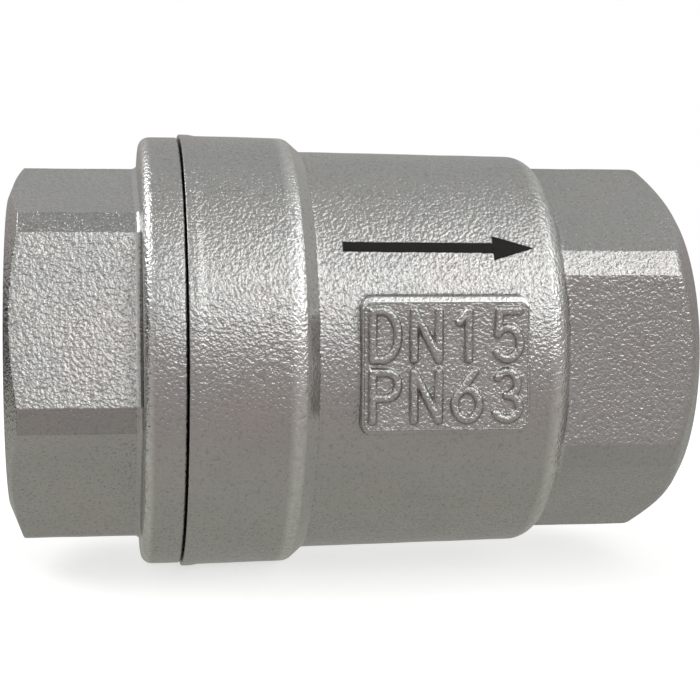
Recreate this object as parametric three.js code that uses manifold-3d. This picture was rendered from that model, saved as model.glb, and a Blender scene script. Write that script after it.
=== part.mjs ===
// Spring-loaded in-line check valve, 1/2 inch NPT female ends, two-piece cast stainless steel body.
//
// Millimetres. +X runs along the flow, from the inlet in the end cap to the outlet in the body; +Z is up.
// The origin is on the flow axis, halfway between the two end faces. The valve is drawn closed.
// A profile is a list of [x, r] points: x along the flow axis and r out from it.
import * as THREE from "three";
import { mergeVertices } from "three/addons/utils/BufferGeometryUtils.js";
import Module from "manifold-3d";

const wasm = await Module();
wasm.setup();

// ---------------------------------------------------------------- driving dimensions

const length = 53.5; // end face to end face
const acrossFlats = 27; // both wrench hexagons
const cornerFlat = 2.1; // width of the flat that breaks each corner of a hexagon
const capHexTurn = -14.2; // degrees about +X: the cap's hexagon stops here when it is screwed home
const capEnd = { faceRadius: 12.4, chamfer: 22 }; // flat end face, and degrees between it and the chamfer
const bodyEnd = { faceRadius: 12.2, chamfer: 34 };
const rim = 0.5; // fillet where a hexagon meets round metal

const flangeRadius = 17.25; // round flange of the end cap
const flangeLength = 3.1;
const flangeRound = 0.85; // radius of the flange's outer edge
const collarRadius = 17.4; // thick end of the body, over the joint thread
const collarTaper = 0.12; // how much smaller the collar is at its shoulder
const collarLip = 0.1; // how far the collar flares at its mouth
const collarEdge = -4.9; // end of the collar's full radius
const shoulderEnd = -3.65; // foot of the collar's sloping shoulder
const barrelRadius = 16.2;
const barrelTaper = 0.22; // how much smaller the barrel is at its outlet end
const barrelEnd = 15.65;
const barrelRound = 2; // radius of the barrel's outlet edge
const partingGap = 0.12; // between the cap's flange and the collar

const padX = 5.63; // middle of the raised pad on the front of the barrel
const padFace = 16.65; // from the flow axis to the pad's flat face
const padWidth = 12.6;
const padHeight = 10.1;
const padCorner = 0.7;
const padRoot = 14; // from the flow axis to the pad's back, inside the barrel's wall
const letterWidth = 2.5;
const letterHeight = 4.2;
const letterPitch = 3.07;
const linePitch = 4.5;
const letterRise = 0.35;

const threadMinorRadius = 9.16; // 1/2-14 NPT at the end face, over the thread crests
const threadTaper = 1 / 32; // NPT taper, on the radius
const threadDepth = 12.6;
const mouthRadius = 10.8; // countersink of each port
const portRadius = 7.6;

const seatX = -4.6; // the cap's seat lip, which the seat seal closes on
const seatOuterRadius = 8.6;
const capThreadRadius = 13.4;
const bodyThreadRadius = 13.6;
const cavityRadius = 12.6;
const cavityEnd = 12.6;

const lift = 4.5; // travel of the poppet from closed to its stop
const stemRadius = 2;
const springWire = 0.8;
const springRadius = 5.5; // to the middle of the wire
const springTurns = 5;
const closedTurns = 1; // turns that lie together at each end of the spring
const closedPitch = 0.88;

const clear = 0.1; // space left between pieces that touch
const roundSegments = 48; // of a large turned piece
const smallSegments = 32; // of a small one
const holeSegments = 16; // of the smallest holes
const beyond = 1; // how far a cutter reaches past the face it cuts

const inletX = -length / 2;
const outletX = length / 2;
const partingX = -13.43;
const flangeX = partingX - flangeLength;

// Joint between the cap and the body.
const gasketOuter = 14.9;
const gasketThickness = 1;
const gasketX = partingX + clear / 2;

// The poppet and what is clamped to it, from the seat back to the nut.
const sealThickness = 1.3;
const sealOuter = 9.5;
const spigotRadius = 3.4; // of the poppet, through the seal
const poppetRadius = 10.3;
const poppetBackX = -1.2;
const bossRadius = 4.3;
const bossEnd = 0.8;
const bore = stemRadius + clear;
const retainerRadius = 6.7;
const retainerThickness = 1.2;
const lockWasherRadius = 3.8;
const lockWasherThickness = 0.8;
const nutFlats = 7;
const nutThickness = 2.4;
const sealX = seatX + clear; // front face of the seat seal
const pocketX = sealX + sealThickness + clear; // floor of the pocket that holds it
const retainerX = sealX - clear - retainerThickness;
const lockWasherX = retainerX - clear - lockWasherThickness;
const nutX = lockWasherX - clear - nutThickness;

// The stem, the spring and the guide.
const stemFront = nutX - 0.7;
const stemShoulderX = bossEnd + clear;
const stemShoulderEnd = 3.5;
const stemShoulderRadius = 3.3;
const springWasherX = poppetBackX + clear;
const springWasherRadius = 6.6;
const springWasherThickness = 0.6;
const springStart = springWasherX + springWasherThickness + clear;
const retainingRingX = 8.4;
const retainingRingThickness = 1;
const ringGroove = 0.65; // depth of the groove that holds the retaining ring
const spiderX = 9.5;
const spiderThickness = 3;
const springEnd = spiderX - clear;
const hubRadius = 4;
const hubEnd = 13.6;
const bushRadius = 2.9;
const bushFlangeX = stemShoulderEnd + lift + clear;
const clipX = hubEnd + 0.3;
const clipRadius = 3.4;
const clipThickness = 0.6;
const stemEnd = clipX + clipThickness + 0.8;

// ---------------------------------------------------------------- materials

const steel = { metalness: 1 };
const castSteel = new THREE.MeshStandardMaterial({ ...steel, color: 0xaeaca8, roughness: 0.45 });
const turnedSteel = new THREE.MeshStandardMaterial({ ...steel, color: 0xc4c4c2, roughness: 0.25 });
const springSteel = new THREE.MeshStandardMaterial({ ...steel, color: 0xb4b5b6, roughness: 0.3 });
const ptfe = new THREE.MeshStandardMaterial({ color: 0xeeece4, roughness: 0.6, metalness: 0 });

// Outline of each letter of the size mark, and the hole in it, on a grid 5 wide and 7 high.
const letters = {
  D: {
    outline: [[0, 0], [3.2, 0], [5, 1.6], [5, 5.4], [3.2, 7], [0, 7]],
    hole: [[1, 1], [1, 6], [2.8, 6], [4, 5], [4, 2], [2.8, 1]],
  },
  N: { outline: [[0, 0], [1, 0], [1, 4.9], [4, 0], [5, 0], [5, 7], [4, 7], [4, 2.1], [1, 7], [0, 7]] },
  P: {
    outline: [[0, 0], [1, 0], [1, 2.8], [3.6, 2.8], [5, 4], [5, 5.8], [3.6, 7], [0, 7]],
    hole: [[1, 3.8], [1, 6], [3.2, 6], [4, 5.3], [4, 4.5], [3.2, 3.8]],
  },
  1: { outline: [[2.2, 0], [3.2, 0], [3.2, 7], [2.2, 7], [0.9, 5.6], [1.5, 4.9], [2.2, 5.6]] },
  3: {
    outline: [
      [0.3, 0], [3.6, 0], [5, 1.3], [5, 2.9], [4.3, 3.6], [5, 4.3], [5, 5.8], [3.6, 7], [0.3, 7], [0.3, 6],
      [3.2, 6], [4, 5.3], [4, 4.7], [3.3, 4.1], [1.4, 4.1], [1.4, 3.1], [3.3, 3.1], [4, 2.5], [4, 1.7],
      [3.2, 1], [0.3, 1],
    ],
  },
  5: {
    outline: [
      [0.4, 7], [0.4, 3.4], [3, 3.4], [4, 2.6], [4, 1.8], [3.1, 1], [0.3, 1], [0.3, 0], [3.5, 0], [5, 1.3],
      [5, 3], [3.4, 4.4], [1.4, 4.4], [1.4, 6], [4.6, 6], [4.6, 7],
    ],
  },
  6: {
    outline: [
      [0, 1.4], [1.4, 0], [3.6, 0], [5, 1.3], [5, 3], [3.6, 4.3], [1.2, 4.3], [2.5, 6], [4.2, 6], [4.2, 7],
      [2, 7], [0, 4.6],
    ],
    hole: [[1, 1.9], [1, 3.3], [3.2, 3.3], [4, 2.6], [4, 1.7], [3.2, 1], [1.9, 1]],
  },
};

// ---------------------------------------------------------------- shape helpers

const radians = THREE.MathUtils.degToRad;

// Points of an arc about [cx, cr], so that a corner of a profile comes out round.
function arc(cx, cr, radius, from, to, steps = 4) {
  return Array.from({ length: steps + 1 }, (_, i) => {
    const a = radians(from + ((to - from) * i) / steps);
    return [cx + radius * Math.cos(a), cr + radius * Math.sin(a)];
  });
}

// A closed profile turned about the X axis.
function turned(profile, segments = roundSegments) {
  const points = [...profile, profile[0]].map(([x, r]) => new THREE.Vector2(r, x));
  return solid(new THREE.LatheGeometry(points, segments).rotateZ(-Math.PI / 2));
}

// A plain cylinder about the X axis.
function disc(x0, x1, radius, segments) {
  return turned([[x0, 0], [x0, radius], [x1, radius], [x1, 0]], segments);
}

// A flat outline, in the Y and Z directions, made into a plate from x0 to x1.
function plate(shape, x0, x1, curveSegments = 8) {
  const options = { depth: x1 - x0, bevelEnabled: false, curveSegments };
  const geometry = new THREE.ExtrudeGeometry(shape, options);
  return solid(geometry.rotateY(Math.PI / 2).rotateX(Math.PI / 2).translate(x0, 0, 0));
}

// A three.js geometry as a manifold-3d solid, with its faces pointing out.
function solid(geometry) {
  const bare = geometry.index ? geometry.toNonIndexed() : geometry;
  const position = new THREE.BufferGeometry().setAttribute("position", bare.getAttribute("position"));
  const merged = mergeVertices(position, 1e-4);
  const vertProperties = merged.attributes.position.array;
  const triVerts = new Uint32Array(merged.index.array);
  const made = new wasm.Manifold(new wasm.Mesh({ numProp: 3, vertProperties, triVerts }));
  if (made.volume() >= 0) return made;
  const turnedRound = triVerts.reverse();
  return new wasm.Manifold(new wasm.Mesh({ numProp: 3, vertProperties, triVerts: turnedRound }));
}

// A manifold-3d solid as a named mesh.
function piece(name, shape, material) {
  const { numProp, numVert, vertProperties, triVerts } = shape.getMesh();
  const position = new Float32Array(numVert * 3);
  for (let i = 0; i < numVert; i++) {
    position.set(vertProperties.subarray(i * numProp, i * numProp + 3), i * 3);
  }
  const geometry = new THREE.BufferGeometry();
  geometry.setAttribute("position", new THREE.BufferAttribute(position, 3));
  geometry.setIndex(new THREE.BufferAttribute(triVerts, 1));
  geometry.computeVertexNormals();
  const mesh = new THREE.Mesh(geometry, material);
  mesh.name = name;
  return mesh;
}

function polygon(points) {
  return new THREE.Shape(points.map(([across, up]) => new THREE.Vector2(across, up)));
}

// A hexagon with flats facing -Y and +Y and every corner cut to a narrow flat.
function hexagon(flats, corner) {
  const cornerRadius = flats / Math.sqrt(3) - (corner / 2) * Math.tan(radians(30));
  const points = [];
  for (let i = 0; i < 6; i++) {
    const a = radians(60 * i + 30);
    for (const side of [-1, 1]) {
      const along = (side * corner) / 2;
      points.push([
        cornerRadius * Math.cos(a) - along * Math.sin(a),
        cornerRadius * Math.sin(a) + along * Math.cos(a),
      ]);
    }
  }
  return polygon(points);
}

// A wrench hexagon from x0 to the end face at endX, its corners chamfered at the end.
function wrenchHexagon(x0, endX, { faceRadius, chamfer: angle }, turn) {
  const outward = Math.sign(endX - x0);
  const reach = acrossFlats; // clear of every corner
  const slope = (reach - faceRadius) * Math.tan(radians(angle));
  const [low, high] = [Math.min(x0, endX), Math.max(x0, endX)];
  const chamfer = turned([
    [x0, 0],
    [endX, 0],
    [endX, faceRadius],
    [endX - outward * slope, reach],
    [x0, reach],
  ]);
  return plate(hexagon(acrossFlats, cornerFlat), low, high).rotate([turn, 0, 0]).intersect(chamfer);
}

// The space inside a port: the countersunk mouth, the tapered thread bore and the port behind it.
function portProfile(endX, inward, portEnd, portR) {
  const face = threadMinorRadius;
  const foot = face - threadDepth * threadTaper;
  const mouthDepth = mouthRadius - face;
  const at = (depth) => endX + inward * depth;
  return [
    [at(-beyond), 0],
    [at(-beyond), mouthRadius + beyond],
    [at(mouthDepth), face - mouthDepth * threadTaper],
    [at(threadDepth), foot],
    [at(threadDepth + foot - portR), portR],
    [portEnd, portR],
    [portEnd, 0],
  ];
}

// ---------------------------------------------------------------- pressure shell

function endCap() {
  const threadStart = partingX + 1.6;
  const noseX = seatX - 0.5; // the nose stands back from the raised seat lip
  const threadEnd = noseX - 0.6;
  const reliefRadius = capThreadRadius - 0.8;
  const outside = turned([
    [flangeX - 1.5, 0],
    [flangeX - 1.5, acrossFlats / 2 - 0.1],
    ...arc(flangeX - rim, acrossFlats / 2 + rim, rim, -90, 0, 2),
    ...arc(flangeX + flangeRound, flangeRadius - flangeRound, flangeRound, 180, 90, 2),
    [partingX, flangeRadius],
    [partingX, reliefRadius],
    [threadStart - 0.4, reliefRadius],
    [threadStart, capThreadRadius],
    [threadEnd, capThreadRadius],
    [noseX, capThreadRadius - 0.7],
    [noseX, seatOuterRadius + 0.4],
    [seatX, seatOuterRadius],
    [seatX, 0],
  ]);
  const inside = turned(portProfile(inletX, 1, seatX + beyond, portRadius));
  return outside.add(wrenchHexagon(flangeX + rim, inletX, capEnd, capHexTurn)).subtract(inside);
}

function body() {
  const mouthX = partingX + partingGap;
  const shoulderRound = 1; // radius of the collar's edge at the shoulder
  const collarEndRadius = collarRadius - collarTaper;
  const barrelEndRadius = barrelRadius - barrelTaper;
  const outside = turned([
    [mouthX, 0],
    [mouthX, collarRadius + collarLip],
    [mouthX + 0.5, collarRadius + collarLip],
    [mouthX + 1.2, collarRadius],
    ...arc(collarEdge - shoulderRound / 2, collarEndRadius - shoulderRound, shoulderRound, 90, 50, 2),
    [shoulderEnd, barrelRadius],
    ...arc(barrelEnd - barrelRound, barrelEndRadius - barrelRound, barrelRound, 90, 0, 5),
    ...arc(barrelEnd + rim, acrossFlats / 2 + rim, rim, 180, 270, 2),
    [barrelEnd + 1.5, acrossFlats / 2 - 0.1],
    [barrelEnd + 1.5, 0],
  ]);
  return outside
    .add(wrenchHexagon(barrelEnd - barrelRound, outletX, bodyEnd, 0))
    .add(ratingPad())
    .add(sizeMark())
    .subtract(bodyCavity());
}

function bodyCavity() {
  const outletPort = turned(portProfile(outletX, -1, 0, portRadius + 0.6));
  const grooveStart = retainingRingX - clear / 2;
  const grooveEnd = retainingRingX + retainingRingThickness + clear / 2;
  const chamber = turned([
    [partingX - beyond, 0],
    [partingX - beyond, gasketOuter + clear],
    [gasketX + gasketThickness + clear / 2, gasketOuter + clear],
    [gasketX + gasketThickness + clear / 2, bodyThreadRadius],
    [seatX + 0.3, bodyThreadRadius],
    [seatX + 1.1, cavityRadius],
    [grooveStart, cavityRadius],
    [grooveStart, cavityRadius + ringGroove],
    [grooveEnd, cavityRadius + ringGroove],
    [grooveEnd, cavityRadius],
    [cavityEnd, cavityRadius],
    [cavityEnd, 0],
  ]);
  return chamber.add(outletPort);
}

// The flat raised pad on the front of the barrel, which carries the size mark.
function ratingPad() {
  const [halfWidth, halfHeight] = [padWidth / 2 - padCorner, padHeight / 2 - padCorner];
  const outline = new THREE.Shape();
  outline.absarc(halfWidth, halfHeight, padCorner, 0, Math.PI / 2);
  outline.absarc(-halfWidth, halfHeight, padCorner, Math.PI / 2, Math.PI);
  outline.absarc(-halfWidth, -halfHeight, padCorner, Math.PI, 1.5 * Math.PI);
  outline.absarc(halfWidth, -halfHeight, padCorner, 1.5 * Math.PI, 2 * Math.PI);
  return onFront(outline, padRoot, padFace).translate([padX, 0, 0]);
}

// A flat outline, in the X and Z directions, made into a plate that faces -Y.
function onFront(shape, back, front) {
  const options = { depth: front - back, bevelEnabled: false, curveSegments: 4 };
  return solid(new THREE.ExtrudeGeometry(shape, options).rotateX(Math.PI / 2).translate(0, -back, 0));
}

// The raised size mark: the nominal size over the pressure rating.
function sizeMark() {
  const back = padFace - beyond;
  const marks = ["DN15", "PN63"].flatMap((text, row) =>
    [...text].map((character, column) => {
      const left = padX + (column - (text.length - 1) / 2) * letterPitch - letterWidth / 2;
      const foot = (0.5 - row) * linePitch - letterHeight / 2;
      const place = (points) =>
        points.map(([x, z]) => [left + (x / 5) * letterWidth, foot + (z / 7) * letterHeight]);
      const { outline, hole } = letters[character];
      const shape = polygon(place(outline));
      if (hole) shape.holes.push(polygon(place(hole)));
      return onFront(shape, back, padFace + letterRise);
    }),
  );
  return wasm.Manifold.union(marks);
}

// A ring of rectangular section from x0 to x1, its outer edges broken by edge.
function ring(x0, x1, inner, outer, segments = roundSegments, edge = 0) {
  return turned(
    edge
      ? [
          [x0, inner],
          [x0, outer - edge],
          [x0 + edge, outer],
          [x1 - edge, outer],
          [x1, outer - edge],
          [x1, inner],
        ]
      : [
          [x0, inner],
          [x0, outer],
          [x1, outer],
          [x1, inner],
        ],
    segments,
  );
}

function bodyGasket() {
  return ring(gasketX, gasketX + gasketThickness, bodyThreadRadius + 0.15, gasketOuter);
}

// ---------------------------------------------------------------- poppet and what is clamped to it

function poppet() {
  const pocketRadius = sealOuter + 0.15;
  const backRound = 0.9;
  return turned(
    [
      [sealX + 0.3, bore],
      [sealX + 0.3, spigotRadius],
      [pocketX, spigotRadius],
      [pocketX, pocketRadius],
      [sealX + 0.6, pocketRadius],
      [sealX + 0.6, poppetRadius - 0.2],
      [sealX + 0.8, poppetRadius],
      ...arc(poppetBackX - backRound, poppetRadius - backRound, backRound, 90, 0, 2),
      [poppetBackX, bossRadius],
      [bossEnd - 0.3, bossRadius],
      [bossEnd, bossRadius - 0.3],
      [bossEnd, bore],
    ],
    roundSegments,
  );
}

function seatSeal() {
  return ring(sealX, sealX + sealThickness, spigotRadius + 0.15, sealOuter, roundSegments, 0.15);
}

function sealRetainer() {
  return turned(
    [
      [retainerX, bore],
      [retainerX, retainerRadius - 0.6],
      [retainerX + 0.5, retainerRadius],
      [retainerX + retainerThickness, retainerRadius],
      [retainerX + retainerThickness, bore],
    ],
    smallSegments,
  );
}

// A spring lock washer, cut through on a slant.
function lockWasher() {
  const end = lockWasherX + lockWasherThickness;
  const slot = polygon([[-0.35, 0], [0.35, 0], [0.9, 6], [0.2, 6]]);
  const cut = plate(slot, lockWasherX - beyond, end + beyond);
  return ring(lockWasherX, end, bore + 0.1, lockWasherRadius, smallSegments).subtract(cut);
}

function retainerNut() {
  const corners = nutFlats / Math.sqrt(3) + 0.1; // just clear of the hexagon's corners
  const face = nutFlats / 2 - 0.1;
  const end = nutX + nutThickness;
  const chamfer = turned(
    [
      [nutX, 0],
      [nutX, face],
      [nutX + 0.45, corners],
      [end - 0.45, corners],
      [end, face],
      [end, 0],
    ],
    smallSegments,
  );
  const countersink = 0.4;
  const hole = turned(
    [
      [nutX - beyond, 0],
      [nutX - beyond, bore + countersink + beyond],
      [nutX + countersink, bore],
      [end - countersink, bore],
      [end + beyond, bore + countersink + beyond],
      [end + beyond, 0],
    ],
    smallSegments,
  );
  return plate(hexagon(nutFlats, 0.01), nutX, end).intersect(chamfer).subtract(hole);
}

function stem() {
  const groove = 1.5; // radius at the bottom of the clip's groove
  const grooveStart = clipX - clear / 2;
  const grooveEnd = clipX + clipThickness + clear / 2;
  return turned(
    [
      [stemFront, 0],
      [stemFront, stemRadius - 0.4],
      [stemFront + 0.4, stemRadius],
      [stemShoulderX, stemRadius],
      [stemShoulderX, stemShoulderRadius],
      [stemShoulderEnd - 0.3, stemShoulderRadius],
      [stemShoulderEnd, stemShoulderRadius - 0.3],
      [stemShoulderEnd, stemRadius],
      [grooveStart, stemRadius],
      [grooveStart, groove],
      [grooveEnd, groove],
      [grooveEnd, stemRadius],
      [stemEnd - 0.3, stemRadius],
      [stemEnd, stemRadius - 0.3],
      [stemEnd, 0],
    ],
    smallSegments,
  );
}

// An E-shaped clip: three teeth in the stem's groove, open towards +Z.
function stemClip() {
  const grip = 1.6; // radius inside the teeth
  const mouthHalf = 1.35;
  const reliefRadius = 0.65;
  const [x0, x1] = [clipX, clipX + clipThickness];
  const [cut0, cut1] = [x0 - beyond, x1 + beyond];
  const outline = [[-mouthHalf, 0], [mouthHalf, 0], [mouthHalf, 5], [-mouthHalf, 5]];
  let clip = disc(x0, x1, clipRadius, smallSegments)
    .subtract(disc(cut0, cut1, grip, smallSegments))
    .subtract(plate(polygon(outline), cut0, cut1));
  for (const side of [-1, 1]) {
    const relief = disc(cut0, cut1, reliefRadius, holeSegments);
    clip = clip.subtract(relief.translate([0, side * 1.75, -1]));
  }
  return clip;
}

// ---------------------------------------------------------------- spring and guide

function springWasher() {
  const end = springWasherX + springWasherThickness;
  return ring(springWasherX, end, bossRadius + 0.15, springWasherRadius, smallSegments);
}

// The middle of the spring's wire. The turns lie close at both ends and open evenly between.
class SpringPath extends THREE.Curve {
  getPoint(t, target = new THREE.Vector3()) {
    const turn = t * springTurns;
    const span = springEnd - springStart - springWire;
    const openTurns = springTurns - 2 * closedTurns;
    const openPitch = (span - 2 * closedTurns * closedPitch) / openTurns;
    const opened = THREE.MathUtils.clamp(turn - closedTurns, 0, openTurns);
    const x = springStart + springWire / 2 + closedPitch * (turn - opened) + openPitch * opened;
    const angle = 2 * Math.PI * turn;
    return target.set(x, springRadius * Math.cos(angle), springRadius * Math.sin(angle));
  }
}

function spring() {
  const section = new THREE.Shape().absarc(0, 0, springWire / 2, 0, 2 * Math.PI);
  const options = { steps: springTurns * 18, curveSegments: 4, extrudePath: new SpringPath() };
  return solid(new THREE.ExtrudeGeometry(section, options));
}

// The guide: an outer ring, three legs and a hub, cast in one.
function guideSpider() {
  const ringInner = 10.8;
  const springSeatRadius = 6.6; // of the hub's wide foot, which the spring stands on
  const half = 1.2; // half the width of a leg
  const end = spiderX + spiderThickness;
  const hub = turned(
    [
      [spiderX, 0],
      [spiderX, springSeatRadius],
      [spiderX + 1, springSeatRadius],
      [spiderX + 2.2, hubRadius],
      [hubEnd - 0.3, hubRadius],
      [hubEnd, hubRadius - 0.3],
      [hubEnd, 0],
    ],
    smallSegments,
  );
  let made = ring(spiderX, end, ringInner, cavityRadius - 0.2, roundSegments, 0.3).add(hub);
  const [near, far] = [hubRadius - 1, ringInner + 0.4];
  const leg = plate(polygon([[-half, near], [half, near], [half, far], [-half, far]]), spiderX, end);
  for (let i = 0; i < 3; i++) {
    made = made.add(leg.rotate([120 * i + 60, 0, 0]));
  }
  return made.subtract(disc(spiderX - beyond, hubEnd + beyond, bushRadius + clear, smallSegments));
}

function guideBush() {
  const inner = stemRadius + 0.08;
  return turned(
    [
      [bushFlangeX, inner],
      [bushFlangeX, bossRadius - 0.3],
      [bushFlangeX + 0.3, bossRadius],
      [spiderX - clear, bossRadius],
      [spiderX - clear, bushRadius],
      [hubEnd - clear, bushRadius],
      [hubEnd - clear, inner],
    ],
    smallSegments,
  );
}

// An internal retaining ring, open at the top, with a lug and a plier hole at each end.
function retainingRing() {
  const [inner, outer] = [11.5, cavityRadius + 0.5];
  const [x0, x1] = [retainingRingX, retainingRingX + retainingRingThickness];
  const [cut0, cut1] = [x0 - beyond, x1 + beyond];
  const gapHalf = 14; // degrees to each side of +Z
  const lugRadius = 1.35;
  const lugMiddle = 11.2; // from the flow axis to the middle of a lug
  const plierHole = 0.6; // radius
  const reach = 30; // clear of the ring
  const gapY = reach * Math.tan(radians(gapHalf));
  const gap = plate(polygon([[0, 0], [gapY, reach], [-gapY, reach]]), cut0, cut1);
  let made = ring(x0, x1, inner, outer).subtract(gap);
  for (const side of [-1, 1]) {
    const a = radians(gapHalf + 4);
    const at = [0, side * lugMiddle * Math.sin(a), lugMiddle * Math.cos(a)];
    made = made.add(disc(x0, x1, lugRadius, holeSegments).translate(at));
    made = made.subtract(disc(cut0, cut1, plierHole, holeSegments).translate(at));
  }
  return made;
}

// ---------------------------------------------------------------- assembly

const valve = new THREE.Group();
valve.add(
  piece("body", body(), castSteel),
  piece("end_cap", endCap(), castSteel),
  piece("body_gasket", bodyGasket(), ptfe),
  piece("guide_spider", guideSpider(), castSteel),
  piece("guide_bush", guideBush(), ptfe),
  piece("retaining_ring", retainingRing(), springSteel),
  piece("spring", spring(), springSteel),
  piece("spring_washer", springWasher(), turnedSteel),
  piece("poppet", poppet(), turnedSteel),
  piece("seat_seal", seatSeal(), ptfe),
  piece("seal_retainer", sealRetainer(), turnedSteel),
  piece("lock_washer", lockWasher(), springSteel),
  piece("retainer_nut", retainerNut(), turnedSteel),
  piece("stem", stem(), turnedSteel),
  piece("stem_clip", stemClip(), springSteel),
);
export default valve;
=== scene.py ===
"""The finished look of the spring check valve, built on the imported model's frame.

Shapes are worked out in millimetres and turned into metres where a mesh is made. +X runs along the flow,
+Z is up and the size mark faces -Y. A section is a list of corners (x, r, fillet): x along the flow axis,
r out from it, and the radius that rounds the corner.
"""
import math

import bpy
import numpy as np
from mathutils import Matrix, Vector, noise


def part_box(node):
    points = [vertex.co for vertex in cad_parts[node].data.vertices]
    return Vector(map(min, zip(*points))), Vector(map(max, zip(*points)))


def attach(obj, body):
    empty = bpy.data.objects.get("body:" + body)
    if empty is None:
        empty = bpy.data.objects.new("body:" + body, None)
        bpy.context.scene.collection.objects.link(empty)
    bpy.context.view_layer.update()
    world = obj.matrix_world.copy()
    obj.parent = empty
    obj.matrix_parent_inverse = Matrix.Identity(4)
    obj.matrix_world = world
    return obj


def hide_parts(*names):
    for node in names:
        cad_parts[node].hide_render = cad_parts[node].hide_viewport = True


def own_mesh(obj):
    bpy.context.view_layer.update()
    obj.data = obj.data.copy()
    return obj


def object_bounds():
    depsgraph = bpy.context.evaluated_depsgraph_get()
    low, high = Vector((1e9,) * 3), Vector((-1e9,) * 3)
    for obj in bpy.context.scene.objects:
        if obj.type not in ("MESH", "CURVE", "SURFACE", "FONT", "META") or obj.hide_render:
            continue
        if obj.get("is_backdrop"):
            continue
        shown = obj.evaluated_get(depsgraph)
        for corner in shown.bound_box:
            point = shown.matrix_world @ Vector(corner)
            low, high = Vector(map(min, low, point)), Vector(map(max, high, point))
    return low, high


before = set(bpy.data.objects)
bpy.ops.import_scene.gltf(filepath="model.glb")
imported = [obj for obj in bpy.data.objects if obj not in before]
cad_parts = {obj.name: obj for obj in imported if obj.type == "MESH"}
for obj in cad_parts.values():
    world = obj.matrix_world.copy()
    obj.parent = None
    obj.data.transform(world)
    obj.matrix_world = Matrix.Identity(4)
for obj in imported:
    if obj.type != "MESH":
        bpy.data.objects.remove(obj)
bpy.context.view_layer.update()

MM = 0.001

# Driving dimensions in millimetres and degrees. _X is a place along the flow axis and _R a radius from it.
LENGTH = 53.5
INLET_X, OUTLET_X = -LENGTH / 2, LENGTH / 2
ACROSS_FLATS = 27.0
CORNER_FLAT = 2.1  # width of the small flat on each corner of a hexagon
CAP_HEX_TURN = -14.2
CAP_FACE_R, CAP_CHAMFER = 12.4, math.tan(math.radians(22))
BODY_FACE_R, BODY_CHAMFER = 12.2, math.tan(math.radians(34))
RIM = 0.5  # fillet between the barrel's outlet edge and the hexagon
FLANGE_R, FLANGE_THICKNESS = 17.25, 3.1
PARTING_X, PARTING_GAP = -13.43, 0.12
FLANGE_X = PARTING_X - FLANGE_THICKNESS
MOUTH_X = PARTING_X + PARTING_GAP  # the body's end face, beside the flange
COLLAR_R, COLLAR_TAPER, COLLAR_LIP, COLLAR_END = 17.4, 0.12, 0.1, -4.9
SHOULDER_END = -3.65
BARREL_R, BARREL_TAPER, BARREL_END, BARREL_ROUND = 16.2, 0.22, 15.65, 2.0
PAD_X, PAD_FACE = 5.63, 16.65
PAD_HALF = (6.15, 4.72)  # of its flat face
PAD_DROOP = 0.06  # how far the flat face's middle lies under the foot's
CAVITY_R = 12.6
MOUTH_R = 10.8  # countersink of a port at its end face
THREAD_CREST_R = 9.16
THREAD_DEPTH = 12.6
THREAD_PITCH = 1.814
THREAD_TAPER = 1 / 32  # on the radius
SEAT_X = -4.6
NUT_X = -9.2
STEM_R, STEM_HOLE_R = 2.0, 2.1
SPRING_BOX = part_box("spring")
ROW_GAP = 0.9  # widest gap between the rows of a section


# ------------------------------------------------------------------ mesh helpers


def new_piece(name, points, faces, materials, face_material=None):
    """A smooth mesh object from points in millimetres. face_material numbers each face's material."""
    mesh = bpy.data.meshes.new(name)
    mesh.from_pydata((np.asarray(points) * MM).tolist(), [], [tuple(f) for f in faces])
    for material in materials:
        mesh.materials.append(material)
    if face_material is not None:
        mesh.polygons.foreach_set("material_index", np.asarray(face_material, dtype=np.int32))
    mesh.polygons.foreach_set("use_smooth", [True] * len(mesh.polygons))
    mesh.validate()
    obj = bpy.data.objects.new(name, mesh)
    bpy.context.scene.collection.objects.link(obj)
    return obj


def grid_faces(rows, columns, wrap_rows, wrap_columns, start=0):
    """Quads over a grid of points, whose numbers begin at start."""
    i = np.arange(rows if wrap_rows else rows - 1)[:, None]
    j = np.arange(columns if wrap_columns else columns - 1)[None, :]
    i2, j2 = (i + 1) % rows, (j + 1) % columns
    quads = np.stack([i * columns + j, i * columns + j2, i2 * columns + j2, i2 * columns + j], axis=-1)
    return quads.reshape(-1, 4) + start


def round_corners(points, radii, steps=5):
    """Replaces each corner of closed outlines by an arc. points is (corner, column, 2)."""
    rows = []
    for here, before, after, radius in zip(points, np.roll(points, 1, 0), np.roll(points, -1, 0), radii):
        if radius <= 0:
            rows.append(here)
            continue
        to_before, to_after = before - here, after - here
        to_before = to_before / np.linalg.norm(to_before, axis=1, keepdims=True)
        to_after = to_after / np.linalg.norm(to_after, axis=1, keepdims=True)
        half = np.arccos(np.clip((to_before * to_after).sum(1), -1, 1))[:, None] / 2
        reach = radius / np.tan(half)
        middle = to_before + to_after
        centre = here + middle / np.linalg.norm(middle, axis=1, keepdims=True) * radius / np.sin(half)
        first, last = here + to_before * reach - centre, here + to_after * reach - centre
        turn = math.pi - 2 * half
        for t in np.linspace(0, 1, steps + 1):
            mixed = (np.sin((1 - t) * turn) * first + np.sin(t * turn) * last) / np.sin(turn)
            rows.append(centre + mixed)
    return np.array(rows)


def subdivide(rows, longest):
    """Adds rows to closed outlines where two neighbours are further apart than longest(middle point)."""
    result = []
    for here, after in zip(rows, np.roll(rows, -1, 0)):
        gap = np.linalg.norm(after - here, axis=1).max()
        count = max(1, math.ceil(gap / longest((here + after).mean(0) / 2)))
        result.extend(here + (after - here) * k / count for k in range(count))
    return np.array(result)


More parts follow.
